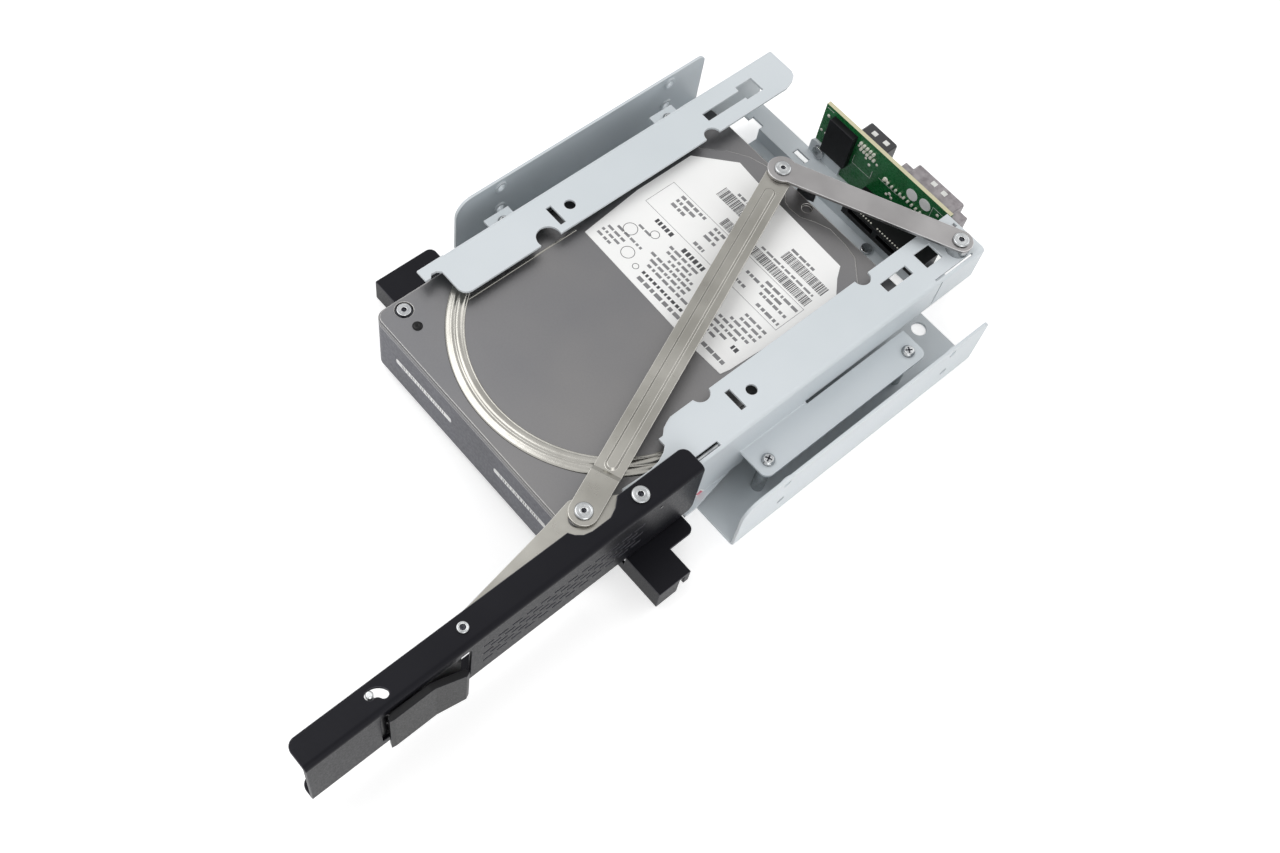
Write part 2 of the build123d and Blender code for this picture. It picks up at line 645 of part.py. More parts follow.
for angle in slot_angles:
    slot_points.append((latch_pivot_x + latch_pin_reach * cos(radians(angle)),
                        latch_pivot_y + latch_pin_reach * sin(radians(angle))))
for (x0, y0), (x1, y1) in zip(slot_points, slot_points[1:]):
    door -= bar(x0, y0, x1, y1, slot_width, door_top - 2, door_top + 1)
arm_rivet_x = door_face_x - 5.7
arm_rivet_y = hinge_y - 67.2
arm_rivet_radius = 1.3
arm_rivet_head_radius = 1.8
door -= disc(arm_rivet_x, arm_rivet_y, door_top - 2, door_top + 1, arm_rivet_radius + fixed_gap)
door -= disc(hinge_x, hinge_y, door_top - 2, door_top + 1, pivot_radius + running_gap)
door -= disc(latch_pivot_x, latch_pivot_y, door_bottom - 1, door_bottom + 2, latch_pivot_radius + fixed_gap)
pieces["door_panel"] = door
pieces["light_pipe"] = rod_x(light_y, light_z, door_face_x - 2.4, door_face_x + 0.15, light_radius)

# Arm riveted under the door's top flange, which drives the long link
arm_outline = shifted(arm_pivot_x, arm_pivot_y, [
    (9.9, 21.4), (4.2, 21.4), (2.1, 13.0), (-1.0, 7.0), (-4.7, 2.8), (-5.9, -1.0), (-3.9, -11.0),
    (1.7, -45.8), (2.8, -54.0), (9.9, -54.0)])
arm = plate(arm_outline, arm_bottom, arm_top)
arm = fillet(arm.edges().filter_by(Axis.Z), 1.2)
open_slot_width = 2 * (small_pivot_radius + 0.95)
arm -= bar(arm_pivot_x + 0.25, arm_pivot_y - 2.6, arm_pivot_x + 0.85, arm_pivot_y + 2.6,
           open_slot_width, arm_bottom - 1, arm_top + 1)
arm -= disc(hinge_x, hinge_y, arm_bottom - 1, arm_top + 1, pivot_radius + running_gap)
arm -= disc(arm_rivet_x, arm_rivet_y, arm_bottom - 1, arm_top + 1, arm_rivet_radius + fixed_gap)
pieces["door_arm"] = arm
arm_rivet = disc(arm_rivet_x, arm_rivet_y, arm_bottom, door_top, arm_rivet_radius)
arm_rivet += disc(arm_rivet_x, arm_rivet_y, arm_bottom - 0.7, arm_bottom, arm_rivet_head_radius)
arm_rivet_head = disc(arm_rivet_x, arm_rivet_y, door_top, door_top + 0.6, arm_rivet_head_radius)
arm_rivet += chamfer(arm_rivet_head.edges().sort_by(Axis.Z)[-1], 0.3)
arm_rivet -= disc(arm_rivet_x, arm_rivet_y, door_top + 0.2, door_top + 2, 1.0)
pieces["arm_rivet"] = arm_rivet

# Latch: handle through the door's window, plate and pin
latch_pivot_pin = disc(latch_pivot_x, latch_pivot_y, door_bottom, door_top - door_sheet, latch_pivot_radius)
latch_pivot_pin += disc(latch_pivot_x, latch_pivot_y, door_bottom - 0.6, door_bottom, 1.8)
pieces["latch_pivot_pin"] = latch_pivot_pin
handle_bottom = 12.6
handle_top = 37.3
barrel_radius = 2.1
handle_outline = shifted(latch_pivot_x, latch_pivot_y, [
    (3.6, 2.3), (4.1, 0.3), (5.6, -0.2), (5.9, 1.2), (5.9, 15.7), (7.6, 25.3), (6.9, 26.7),
    (5.3, 26.3), (3.6, 15.2)])
handle = plate(handle_outline, handle_bottom, handle_top)
slope_start = window_rear - 16.3
slope_end = window_rear - 2.8
slope_cut = Polyline(
    (slope_start, handle_top), (slope_end, handle_top - 5.2), (slope_end, handle_top + 2),
    (slope_start, handle_top + 2), close=True)
slope_face = Plane.YZ * make_face(slope_cut)
handle -= Pos(latch_pivot_x, 0, 0) * extrude(slope_face, 20)
web_outline = shifted(latch_pivot_x, latch_pivot_y, [
    (0, -barrel_radius), (1.0, -1.2), (2.0, 1.2), (4.1, 2.5), (4.1, 9.7), (0.9, 5.3),
    (-0.5, barrel_radius)])
barrel_top = rail_under - 1.75
handle_web = 1.8
for z0 in (window_bottom + 0.8, window_bottom + 8.8, barrel_top - handle_web):
    handle += plate(web_outline, z0, z0 + handle_web)
handle += disc(latch_pivot_x, latch_pivot_y, window_bottom + 0.8, barrel_top, barrel_radius)
handle -= disc(latch_pivot_x, latch_pivot_y, 0, door_top, latch_pivot_radius + running_gap)
pieces["latch_handle"] = handle
hook_bottom = barrel_top
hook_top = hook_bottom + 1.2
hook_width = 3.6
pin_x = slot_points[0][0]
pin_y = slot_points[0][1]
hook = bar(latch_pivot_x, latch_pivot_y, pin_x, pin_y, hook_width, hook_bottom, hook_top)
hook -= disc(latch_pivot_x, latch_pivot_y, hook_bottom - 1, hook_top + 1, latch_pivot_radius + running_gap)
hook -= disc(pin_x, pin_y, hook_bottom - 1, hook_top + 1, latch_pin_radius + fixed_gap)
pieces["latch_hook"] = hook
catch_pin = disc(pin_x, pin_y, hook_bottom, door_top + 0.9, latch_pin_radius)
pieces["catch_pin"] = chamfer(catch_pin.edges().filter_by(GeomType.CIRCLE), 0.3)

# Ejector lever with the finger that pushes the drive
lever_length = hypot(lever_tip_x - lever_pivot_x, lever_tip_y - lever_pivot_y)
along_x = (lever_pivot_x - lever_tip_x) / lever_length
along_y = (lever_pivot_y - lever_tip_y) / lever_length
lever = bar(lever_tip_x, lever_tip_y, lever_pivot_x, lever_pivot_y, lever_width, lever_bottom, lever_top)
lever += disc(lever_tip_x, lever_tip_y, lever_bottom, lever_top, lever_end_radius)


def beside_lever(distance, offset):
    """A point along the lever from its tip, offset towards the rear."""
    return (lever_tip_x + distance * along_x - offset * along_y,
            lever_tip_y + distance * along_y + offset * along_x)


finger_start = 6.6
finger_end = 13.6
finger_low = drive_top - 4.75
finger_inner = lever_width / 2 - arm_sheet
finger_outline = [
    beside_lever(finger_start, finger_inner), beside_lever(finger_end, finger_inner),
    beside_lever(finger_end, lever_width / 2), beside_lever(finger_start, lever_width / 2)]
lever += plate(finger_outline, finger_low, lever_top)
lever -= disc(lever_pivot_x, lever_pivot_y, lever_bottom - 1, lever_top + 1, pivot_radius + running_gap)
lever -= disc(lever_tip_x, lever_tip_y, lever_bottom - 1, lever_top + 1, small_pivot_radius + fixed_gap)
pieces["eject_lever"] = lever
pieces["lever_tip_rivet"] = pivot_rivet(
    lever_tip_x, lever_tip_y, small_pivot_radius, link_bottom - end_float, lever_top)

# Long link: a flat strip with a pressed rib, cranked up over the arm at its front end
link_length = hypot(arm_pivot_x - lever_tip_x, arm_pivot_y - lever_tip_y)
link_angle = degrees(atan2(arm_pivot_y - lever_tip_y, arm_pivot_x - lever_tip_x))
joggle_end = link_length - link_joggle
joggle_start = joggle_end - 2.2
rib_height = 0.7
rib_width = 4.2
rib_end = joggle_start - 3.0
rib_start = 11.0
link_end = link_length + link_width / 2
link_profile = Polyline(
    (-link_width / 2, link_bottom), (joggle_start, link_bottom), (joggle_end, lever_bottom),
    (link_end, lever_bottom), (link_end, lever_top), (joggle_end - 0.3, lever_top),
    (joggle_start - 0.3, link_top), (-link_width / 2, link_top), close=True)
strip = extrude(Plane.XZ * make_face(link_profile), link_width / 2, both=True)
link_shape = bar(0, 0, link_length, 0, link_width, link_bottom - 1, lever_top + 1)
link = strip & link_shape
rib = bar(rib_start, 0, rib_end, 0, rib_width, link_bottom + 0.2, link_top + rib_height)
rib = chamfer(rib.faces().sort_by(Axis.Z)[-1].edges(), rib_height * 0.9)
groove = bar(rib_start, 0, rib_end, 0, rib_width - 2.2, link_bottom - 1, link_bottom + 0.6)
link = link + rib - groove
link -= disc(0, 0, link_bottom - 1, link_top + 1, small_pivot_radius + running_gap)
link -= disc(link_length, 0, lever_bottom - 1, lever_top + 1, small_pivot_radius + fixed_gap)
pieces["long_link"] = Pos(lever_tip_x, lever_tip_y, 0) * Rot(0, 0, link_angle) * link
pieces["link_rivet"] = pivot_rivet(
    arm_pivot_x, arm_pivot_y, small_pivot_radius, arm_bottom - end_float, lever_top)

# Hard drive: cast base, cover with its pressed ring, label, board and plug
drive_left = drive_x - drive_width / 2
drive_right = drive_x + drive_width / 2
cover_height = 3.2
board_recess = 1.6
cover_bottom = drive_top - cover_height
base = block(drive_left, drive_right, drive_front, drive_rear, drive_bottom, cover_bottom)
base = fillet(base.edges().filter_by(Axis.Z), drive_corner)
base -= block(drive_left + 8, drive_right - 8, drive_front + 6, drive_rear + 1, drive_bottom - 1,
              drive_bottom + board_recess + 0.9)
pocket_depth = 5.0
pocket_left = plug_left - 0.8
pocket_right = plug_right + 0.8
base -= block(pocket_left, pocket_right, drive_rear - pocket_depth, drive_rear + 1,
              drive_bottom - 1, receptacle_top + 1.2)
lid_drop = 0.6
lid_level = drive_top - lid_drop
ring_x = drive_x - 0.6
ring_y = drive_front + 57.0
ring_radius = 47.6
bead_width = 1.6
bead_height = 0.3
ring_band = 5.4
step_level = drive_top - 1.4
step_outline = shifted(drive_x, drive_rear, [
    (-60, -16.2), (-37.6, -16.2), (-30.8, -8.9), (-24.2, -4.4), (-16.5, -1.9), (-8.8, -1.8),
    (-5.5, -4.6), (-2.6, -7.7), (0.2, -8.4), (5.1, -8.0), (9.8, -5.2), (15.2, -3.0), (23.2, -3.4),
    (28.9, -4.6), (34.2, -9.1), (39.2, -13.1), (60, -13.1), (60, 10), (-60, 10)])
cover = block(drive_left, drive_right, drive_front, drive_rear, cover_bottom, lid_level)
cover = fillet(cover.edges().filter_by(Axis.Z), drive_corner)
cover = chamfer(cover.faces().sort_by(Axis.Z)[-1].edges(), 0.5)
bead_profile = Polyline(
    (ring_radius - 3, lid_level - 1), (ring_radius - 3, drive_top), (ring_radius, drive_top),
    (ring_radius + 0.4, drive_top + bead_height), (ring_radius + bead_width - 0.4, drive_top + bead_height),
    (ring_radius + bead_width, drive_top), (ring_radius + bead_width + 0.4, drive_top - 0.2),
    (ring_radius + ring_band - 1.2, drive_top - 0.2), (ring_radius + ring_band, lid_level),
    (ring_radius + ring_band, lid_level - 1), close=True)
ring = revolve(Plane.XZ * make_face(bead_profile), Axis.Z)
front_half = block(drive_left + 1.4, drive_right - 1.4, drive_front + 2, ring_y, lid_level - 1, drive_top + 1)
cover += Pos(ring_x, ring_y, 0) * ring & front_half
inner_disc = disc(ring_x, ring_y, lid_level - 1, drive_top, ring_radius - 1)
cover += inner_disc & front_half
plateau = block(ring_x - ring_radius, ring_x + ring_radius, ring_y, drive_rear - 1.4, lid_level - 1, drive_top)
rear_half = block(drive_left + 1.4, drive_right - 1.4, ring_y, drive_rear, lid_level - 1, drive_top + 1)
cover += plateau & rear_half
cover -= plate(step_outline, step_level, drive_top + 1)
cover -= disc(drive_x + 3.4, drive_rear - 2.4, step_level - 1.2, drive_top, 2.0)
screw_recess = 0.5
cover_screws = []
for x in (drive_left + 4.4, drive_right - 4.4):
    y = drive_front + 8.8
    cover -= disc(x, y, lid_level - screw_recess, drive_top, 3.1)
    screw = disc(x, y, lid_level - screw_recess, lid_level + 0.4, 2.3)
    cover_screws.append(screw - disc(x, y, lid_level - 0.1, lid_level + 1, 0.9))
pieces["drive_base"] = base
pieces["drive_cover"] = cover
label_thickness = 0.15
label_outline = shifted(drive_x, drive_rear, [
    (-34.5, -71.9), (22.3, -73.3), (34.0, -72.9), (34.8, -69.3), (36.3, -45.6), (36.9, -22.0),
    (31.2, -15.7), (28.2, -11.2), (-13.2, -10.0), (-24.4, -9.1), (-37.0, -21.1), (-37.0, -45.9)])
pieces["drive_label"] = plate(label_outline, drive_top, drive_top + label_thickness)
pieces["cover_screws"] = Compound(children=cover_screws)
drive_board = block(drive_left + 8.3, drive_right - 8.3, drive_front + 6.3, drive_rear - pocket_depth - 0.4,
                    drive_bottom + sliding_gap, drive_bottom + sliding_gap + board_recess)
pieces["drive_board"] = drive_board
plug_tongue = block(data_left + sliding_gap, data_right - sliding_gap, drive_rear - pocket_depth, drive_rear,
                    tongue_low, tongue_high)
plug_tongue += block(power_left + sliding_gap, power_right - sliding_gap,
                     drive_rear - pocket_depth, drive_rear, tongue_low, tongue_high)
pieces["drive_plug"] = plug_tongue

# Write every piece with the origin at the middle of the tray's underside
os.makedirs("parts", exist_ok=True)
for name, shape in pieces.items():
    moved = Pos(0, -tray_middle, 0) * shape
    moved.label = name
    export_step(moved, f"parts/{name}.step")
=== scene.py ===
import bmesh
import bpy
import math
import random
from mathutils import Matrix, Vector


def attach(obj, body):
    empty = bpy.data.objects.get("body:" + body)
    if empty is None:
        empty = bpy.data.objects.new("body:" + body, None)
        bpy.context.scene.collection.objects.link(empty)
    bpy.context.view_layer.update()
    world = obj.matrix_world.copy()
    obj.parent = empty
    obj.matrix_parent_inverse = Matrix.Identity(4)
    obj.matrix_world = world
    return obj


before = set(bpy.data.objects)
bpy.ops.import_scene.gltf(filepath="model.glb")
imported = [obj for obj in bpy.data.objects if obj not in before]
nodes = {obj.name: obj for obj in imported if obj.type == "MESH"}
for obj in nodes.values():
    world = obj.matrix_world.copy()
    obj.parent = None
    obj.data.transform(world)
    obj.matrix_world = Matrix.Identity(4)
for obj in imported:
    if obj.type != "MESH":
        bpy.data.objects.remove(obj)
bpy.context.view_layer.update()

# Camera
# A hand-held product shot from above the front right corner, rolled so that the rack runs
# from the lower left of the picture to the upper right. Its angles were fitted to the tray's edges.
camera_azimuth = math.radians(36.16)
camera_elevation = math.radians(61.09)
camera_roll = math.radians(14.12)
camera_place = (0.1662, -0.25119, 0.445)
lens_length = 42.40
film_width = 36
nearest_seen = 0.01
back = Vector((math.sin(camera_azimuth) * math.cos(camera_elevation),
               -math.cos(camera_azimuth) * math.cos(camera_elevation),
               math.sin(camera_elevation)))
level_right = Vector((math.cos(camera_azimuth), math.sin(camera_azimuth), 0))
level_up = back.cross(level_right)
camera_right = level_right * math.cos(camera_roll) + level_up * math.sin(camera_roll)
camera_up = level_up * math.cos(camera_roll) - level_right * math.sin(camera_roll)
camera_data = bpy.data.cameras.new("camera")
camera_data.lens = lens_length
camera_data.sensor_width = film_width
camera_data.clip_start = nearest_seen
camera = bpy.data.objects.new("camera", camera_data)
turn = Matrix((camera_right, camera_up, back)).transposed().to_4x4()
camera.matrix_world = Matrix.Translation(camera_place) @ turn
bpy.context.collection.objects.link(camera)
bpy.context.scene.camera = camera
bpy.context.scene.view_settings.view_transform = "Standard"

# Grey painted steel
# The tray, both rails and the rear crossbar are folded from steel sheet and powder coated in a
# smooth, slightly cool light grey. The coat has a faint pebble. A paler line on the folds and edges
# is a painted highlight, partly standing for wear.
mix_first = 6
mix_second = 7
mix_result = 2


def linear(code):
    """The linear colour of an sRGB hex code."""
    parts = [int(code[i:i + 2], 16) / 255 for i in (0, 2, 4)]
    return tuple(p / 12.92 if p <= 0.04045 else ((p + 0.055) / 1.055) ** 2.4 for p in parts) + (1,)


def add_node(tree, kind, settings=None, inputs=None):
    """Adds a node, sets its properties and fills or links its inputs, by name or by number."""
    node = tree.nodes.new(kind)
    for name, value in (settings or {}).items():
        setattr(node, name, value)
    for name, value in (inputs or {}).items():
        if isinstance(value, bpy.types.NodeSocket):
            tree.links.new(value, node.inputs[name])
        else:
            node.inputs[name].default_value = value
    return node


def new_finish(name, tones, gloss, cloud=30.0, grain=1.0, relief=0.02, strength=0.1, metallic=0.0,
               edge_wear_and_highlight=None, edge_radius=0.35, shine=0.5, tint="ffffff"):
    """A finish that drifts between two tones over clouds of a size in mm, with a roughness range
    and a grain of a size and depth in mm. With an edge tone, the edges are painted in it as a
    highlight, partly standing for wear."""
    tone_limits = (0.35, 0.65)
    grain_low = 0.3
    grain_high = 0.7
    edge_start = 0.995
    edge_full = 0.9
    strongest_edge_tone = 0.9
    finish = bpy.data.materials.new(name)
    finish.use_nodes = True
    tree = finish.node_tree
    shader = tree.nodes["Principled BSDF"]
    shader.inputs["Metallic"].default_value = metallic
    shader.inputs["Specular IOR Level"].default_value = shine
    shader.inputs["Specular Tint"].default_value = linear(tint)
    place = add_node(tree, "ShaderNodeTexCoord").outputs["Object"]
    clouds = add_node(tree, "ShaderNodeTexNoise", {}, {
        "Vector": place, "Scale": 1000 / cloud, "Detail": 3.0})
    tone = add_node(tree, "ShaderNodeValToRGB", {}, {"Fac": clouds.outputs["Fac"]})
    for element, position, code in zip(tone.color_ramp.elements, tone_limits, tones):
        element.position = position
        element.color = linear(code)
    pebbles = add_node(tree, "ShaderNodeTexNoise", {}, {
        "Vector": place, "Scale": 1000 / grain, "Detail": 2.0})
    height = pebbles.outputs["Fac"]
    roughness = add_node(tree, "ShaderNodeMapRange", {}, {
        "Value": height, "From Min": grain_low, "From Max": grain_high,
        "To Min": gloss[0], "To Max": gloss[1]})
    tree.links.new(roughness.outputs["Result"], shader.inputs["Roughness"])
    bumped = add_node(tree, "ShaderNodeBump", {}, {
        "Height": height, "Strength": strength, "Distance": relief / 1000})
    colour = tone.outputs["Color"]
    # The edge tone is a painted highlight along folds and cut edges, partly standing for wear.
    if edge_wear_and_highlight:
        rounded = add_node(tree, "ShaderNodeBevel", {"samples": 12}, {
            "Radius": edge_radius / 1000}).outputs["Normal"]
        tree.links.new(rounded, bumped.inputs["Normal"])
        flat = add_node(tree, "ShaderNodeNewGeometry").outputs["Normal"]
        facing = add_node(tree, "ShaderNodeVectorMath", {"operation": "DOT_PRODUCT"}, {
            0: rounded, 1: flat})
        wear_and_highlight_mask = add_node(tree, "ShaderNodeMapRange", {}, {
            "Value": facing.outputs["Value"], "From Min": edge_start, "From Max": edge_full,
            "To Min": 0.0, "To Max": strongest_edge_tone})
        mixed = add_node(tree, "ShaderNodeMix", {"data_type": "RGBA"}, {
            "Factor": wear_and_highlight_mask.outputs["Result"], mix_first: colour, mix_second: linear(edge_wear_and_highlight)})
        colour = mixed.outputs[mix_result]
    tree.links.new(colour, shader.inputs["Base Color"])
    tree.links.new(bumped.outputs["Normal"], shader.inputs["Normal"])
    return finish


def wear(*names, finish):
    """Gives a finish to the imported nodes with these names."""
    for name in names:
        mesh = nodes[name].data
        mesh.materials.clear()
        mesh.materials.append(finish)


grey_paint = new_finish("grey_powder_coat", ("cfd6da", "d6dce0"), (0.34, 0.46), cloud=55.0,
                        grain=0.8, relief=0.02, strength=0.08, edge_wear_and_highlight="e9edf0")
wear("chassis_tray", "rail_left", "rail_right", "backplane_bracket", finish=grey_paint)

# Black painted steel
# The door and the front bezel are folded steel with a fine black powder coat, smooth and a little
# glossy. A greyer line along the folds and cut edges is a painted highlight, partly rubbed wear.
black_paint = new_finish("black_powder_coat", ("0f0f13", "141418"), (0.32, 0.44), cloud=25.0,
                         grain=0.6, relief=0.02, strength=0.14, edge_wear_and_highlight="57575c", edge_radius=0.5,
                         shine=0.16, tint="eeeef8")
wear("door_panel", "front_bezel", finish=black_paint)

# Latch handle, drive receptacle and relay
# Moulded in black nylon, satin from a finely spark eroded mould. Their edges are painted as
# slightly paler lines, a painted highlight.
black_plastic = new_finish("black_satin_nylon", ("0e0e10", "131315"), (0.34, 0.48), cloud=12.0,
                           grain=0.5, relief=0.015, strength=0.15, edge_wear_and_highlight="38383c", edge_radius=0.3,
                           shine=0.2)
wear("latch_handle", "drive_receptacle", "relay", finish=black_plastic)

# Plated strip of the linkage
# The long link, the ejector lever and the door's arm are stamped from steel strip with a satin
# nickel plating. It gives cloudy reflections, a little cooler on the lever, and a sheared rim
# painted in a paler tone as a bright highlight.
link_nickel = new_finish("warm_nickel_strip", ("8f8d87", "a3a19b"), (0.27, 0.33), cloud=22.0,
                         grain=3.0, relief=0.001, strength=0.02, metallic=1.0, edge_wear_and_highlight="e4e2dc",
                         edge_radius=0.3)
wear("door_arm", "long_link", finish=link_nickel)
lever_nickel = new_finish("cool_nickel_strip", ("8f8d8d", "a19f9f"), (0.28, 0.34), cloud=22.0,
                          grain=3.0, relief=0.001, strength=0.02, metallic=1.0, edge_wear_and_highlight="e2e2e2",
                          edge_radius=0.4)
wear("eject_lever", finish=lever_nickel)

# Rivets, screws, spacers and pins
# Turned or headed from steel wire, with the latch's hook stamped from plate. All are zinc plated:
# bright, a little uneven, with soft edges that are painted near white as a highlight.
zinc = new_finish("bright_zinc_plate", ("9fa1a3", "bdbfc0"), (0.16, 0.3), cloud=3.0, grain=0.9,
                  relief=0.01, strength=0.05, metallic=1.0, edge_wear_and_highlight="f2f2f2", edge_radius=0.25)
wear("foot_standoffs", "foot_screws", "detent_rod", "bezel_rivets", "bracket_screws",
     "hinge_rivet", "hinge_spacer", "lever_rivet", "lever_spacer", "arm_rivet", "latch_pivot_pin",
     "catch_pin", "lever_tip_rivet", "link_rivet", "cover_screws", "latch_hook", finish=zinc)

# Formed heads of the pivot rivets
# Each rivet is set by a hollow punch, which leaves a bright outer bead, a sunk ring and a raised
# lip around a bore. The sunk ring and the bore are drawn as dark pieces, painted shade in these
# hollows. The arm's own rivet is smaller, with a flat sunk middle painted dark as shade.
origin_depth = 91.0
same_place = 1e-7
near_axis = 0.02
head_radius = 2.9
bore_radius = 1.0
rivet_heads = (
    ("hinge_rivet_head", "frame", (51.9, 5.0, 41.3)),
    ("lever_rivet_head", "frame", (48.1, 154.0, 41.5)),
    ("link_rivet_head", "link", (45.5, -12.0, 41.4)),
    ("tip_rivet_head", "lever", (-10.4, 125.3, 41.4)))
head_section = (
    (bore_radius, -0.7), (head_radius + 0.03, -0.7), (head_radius + 0.05, -0.3),
    (head_radius - 0.3, 0.0), (head_radius - 0.75, 0.05), (head_radius - 1.0, -0.12),
    (1.55, -0.14), (1.35, 0.04), (1.05, -0.02))
sunk_ring_section = (
    (1.58, -0.3), (head_radius - 1.02, -0.3), (head_radius - 1.02, -0.1), (1.58, -0.12))
bore_section = (
    (near_axis, -0.9), (bore_radius - 0.02, -0.9), (bore_radius - 0.02, -0.25), (near_axis, -0.5))
arm_rivet_place = (51.7, -62.2, 40.5)
arm_rim_section = ((1.15, 0.0), (1.85, 0.0), (1.85, 0.4), (1.6, 0.56), (1.3, 0.52), (1.2, 0.35))
arm_middle_section = ((near_axis, 0.0), (1.18, 0.0), (1.18, 0.4), (near_axis, 0.42))


def at(x, y, z):
    """A place in metres from millimetres across, back from the tray's front edge, and up."""
    return Vector((x, y - origin_depth, z)) / 1000


def make_piece(name, shape, body, finish):
    """Closes a bmesh into an object that rides on a body."""
    mesh = bpy.data.meshes.new(name)
    shape.to_mesh(mesh)
    shape.free()
    mesh.materials.append(finish)
    piece = bpy.data.objects.new(name, mesh)
    bpy.context.collection.objects.link(piece)
    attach(piece, body)


def lathe(shape, section, centre, steps=40, smooth=True):
    """Turns a closed section about the upright line through centre. The section's corners are
    radii and heights from centre in mm."""
    x, y, base = centre
    corners = [shape.verts.new(at(x + r, y, base + z)) for r, z in section]
    sides = [shape.edges.new(pair) for pair in zip(corners, corners[1:] + corners[:1])]
    bmesh.ops.spin(shape, geom=corners + sides, cent=at(x, y, 0), axis=(0, 0, 1),
                   angle=2 * math.pi, steps=steps, use_merge=True, use_duplicate=False)
    bmesh.ops.remove_doubles(shape, verts=shape.verts, dist=same_place)
    bmesh.ops.recalc_face_normals(shape, faces=shape.faces)
    for face in shape.faces:
        face.smooth = smooth


for name, body, crest in rivet_heads:
    shape = bmesh.new()
    lathe(shape, head_section, crest)
    make_piece(name, shape, body, zinc)
# A dark finish painted into sunk rings, bores, sockets and recesses as the shade in them.
recess_shade = new_finish("painted_recess_shade", ("303136", "46474c"), (0.3, 0.45), cloud=2.0, grain=0.5,
                       metallic=1.0)
for name, body, crest in rivet_heads:
    shape = bmesh.new()
    lathe(shape, sunk_ring_section, crest)
    lathe(shape, bore_section, crest, 24)
    make_piece(name.replace("head", "bore"), shape, body, recess_shade)
shape = bmesh.new()
lathe(shape, arm_rim_section, arm_rivet_place)
make_piece("arm_rivet_rim", shape, "door", zinc)
shape = bmesh.new()
lathe(shape, arm_middle_section, arm_rivet_place, 24)
make_piece("arm_rivet_middle_shade", shape, "door", recess_shade)

# Finger well of the latch handle
# Behind the handle a thin curved wall of the same moulding closes the door's window, so that the
# fingers have something to reach into and nothing shows through.
well_edge = 55.2
well_bow = 1.4
well_wall = 0.6
well_low = at(0, -90.8, 15.8)
well_high = at(0, -65.2, 35.4)
well_middle = (well_low + well_high) / 2
well_span = well_high - well_low


def whole(shape):
    """Every corner, edge and face of a bmesh."""
    return shape.verts[:] + shape.edges[:] + shape.faces[:]


def shade_smooth(shape):
    """Shades every face as part of a rounded surface."""
    for face in shape.faces:
        face.smooth = True


shape = bmesh.new()
bmesh.ops.create_grid(shape, x_segments=12, y_segments=2, size=0.5)
for axis in ("Y", "X"):
    quarter_turn = Matrix.Rotation(math.pi / 2, 3, axis)
    bmesh.ops.rotate(shape, cent=(0, 0, 0), matrix=quarter_turn, verts=shape.verts)
for vert in shape.verts:
    across, up = vert.co.y, vert.co.z
    vert.co.x = (well_edge - well_bow * (1 - 4 * across * across)) / 1000
    vert.co.y = well_middle.y + across * well_span.y
    vert.co.z = well_middle.z + up * well_span.z
bmesh.ops.solidify(shape, geom=whole(shape), thickness=well_wall / 1000)
bmesh.ops.recalc_face_normals(shape, faces=shape.faces)
shade_smooth(shape)
make_piece("handle_finger_well", shape, "latch", black_plastic)

# Drive cover
# A pressed steel lid with a dull grey plating, faintly mottled. Its edges and the rims of its
# pressed steps are painted pale, as bright highlight lines.
cover_metal = new_finish("dull_plated_lid", ("737375", "7b7a7a"), (0.38, 0.48), cloud=60.0,
                         grain=0.6, relief=0.01, strength=0.05, metallic=1.0, edge_wear_and_highlight="d9d7d2",
                         edge_radius=0.4)
wear("drive_cover", finish=cover_metal)

# Sealing ring of the cover
# The lid is pressed up into a rounded ring over the disc, with a groove on each side. The ring is
# painted paler and smoother than the lid, a painted highlight on the bead. Its front half is drawn
# here, cut off at the lid's sides.
ring_x = -1.8
ring_y = 40.65
ring_steps = 96
ring_limits = ((-51.2, -1), (48.8, 1))
ring_section = (
    (46.8, 30.79), (47.0, 31.0), (47.3, 31.05), (47.55, 30.9), (47.75, 31.1), (48.4, 31.35),
    (49.2, 31.42), (49.9, 31.25), (50.2, 30.86), (50.5, 30.9), (50.9, 31.1), (51.5, 30.98),
    (51.9, 30.72), (52.2, 30.68), (52.6, 30.6), (53.1, 30.4), (53.3, 30.16), (46.8, 30.16))
# The ring's paler tone is a painted highlight on the bead.
bead_highlight = new_finish("painted_bead_highlight", ("9f9d97", "b3b1ab"), (0.2, 0.28), cloud=18.0,
                       grain=1.6, relief=0.001, strength=0.03, metallic=1.0)
shape = bmesh.new()
shape.faces.new([shape.verts.new(at(ring_x - r, ring_y, z)) for r, z in ring_section])
bmesh.ops.spin(shape, geom=whole(shape), cent=at(ring_x, ring_y, 0), axis=(0, 0, 1),
               angle=math.pi, steps=ring_steps, use_merge=False, use_duplicate=False)
for limit, side in ring_limits:
    bmesh.ops.bisect_plane(shape, geom=whole(shape), plane_co=at(limit, 0, 0),
                           plane_no=(side, 0, 0), clear_outer=True)
    open_edges = [e for e in shape.edges if e.is_boundary]
    bmesh.ops.holes_fill(shape, edges=open_edges, sides=0)
bmesh.ops.recalc_face_normals(shape, faces=shape.faces)
for face in shape.faces:
    face.smooth = len(face.verts) == 4
make_piece("sealing_ring", shape, "drive", bead_highlight)

# Straight beads beside the left rail
# Two low stiffening beads run back from the ring along the lid's left side, pressed with it. They
# carry the ring's paler tone as a painted highlight along them.
beads = ((-41.0, -40.4, 12.6, 38.0), (-38.6, -37.8, 11.2, 57.0))
bead_foot = 30.7
bead_crest = 30.95


